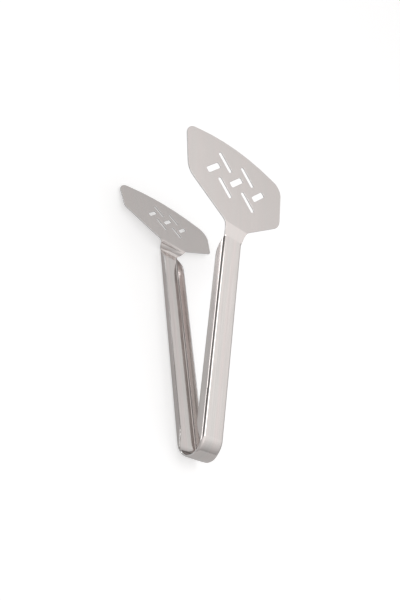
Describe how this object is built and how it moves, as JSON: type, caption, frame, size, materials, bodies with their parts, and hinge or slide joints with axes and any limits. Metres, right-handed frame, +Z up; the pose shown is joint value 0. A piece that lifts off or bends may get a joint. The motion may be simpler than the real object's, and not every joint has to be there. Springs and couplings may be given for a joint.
{
  "type": "slotted serving tongs",
  "caption": "Spring-steel serving tongs: a round bow joins folded channel arms that end in a large and a small slotted, shield-shaped blade.",
  "frame": {"origin": "under the middle of the object's bounding box, on the surface that the tongs lie on", "axes": "+X from the bow towards the blades along the lower arm, +Z up to the large jaw, +Y across the strip"},
  "size_m": [0.2374, 0.1024, 0.0854],
  "materials": {
    "bow_steel": "brushed stainless steel, grain across the bow, slightly brighter from bending",
    "arm_steel": "brushed stainless steel, grain along the arm",
    "blade_steel": "satin stainless steel, fine grain"
  },
  "bodies": {
    "bow": {"spring_bow": "bow_steel"},
    "large_jaw": {"large_arm": "arm_steel", "large_neck": "blade_steel", "large_blade": "blade_steel"},
    "small_jaw": {"small_arm": "arm_steel", "small_neck": "blade_steel", "small_blade": "blade_steel"}
  },
  "joints": [
    {"name": "large_jaw_flex", "type": "hinge", "parent": "bow", "child": "large_jaw", "pos_m": [-0.11525, 0, 0.01869], "axis": [0, 1, 0], "range_deg": [0, 10.3], "stiffness_Nm_per_rad": 15},
    {"name": "small_jaw_flex", "type": "hinge", "parent": "bow", "child": "small_jaw", "pos_m": [-0.11312, 0, 0.00444], "axis": [0, -1, 0], "range_deg": [0, 10.3], "stiffness_Nm_per_rad": 15}
  ],
  "couplings": [
    {"joint": "small_jaw_flex", "follows": "large_jaw_flex", "ratio": 1}
  ]
}
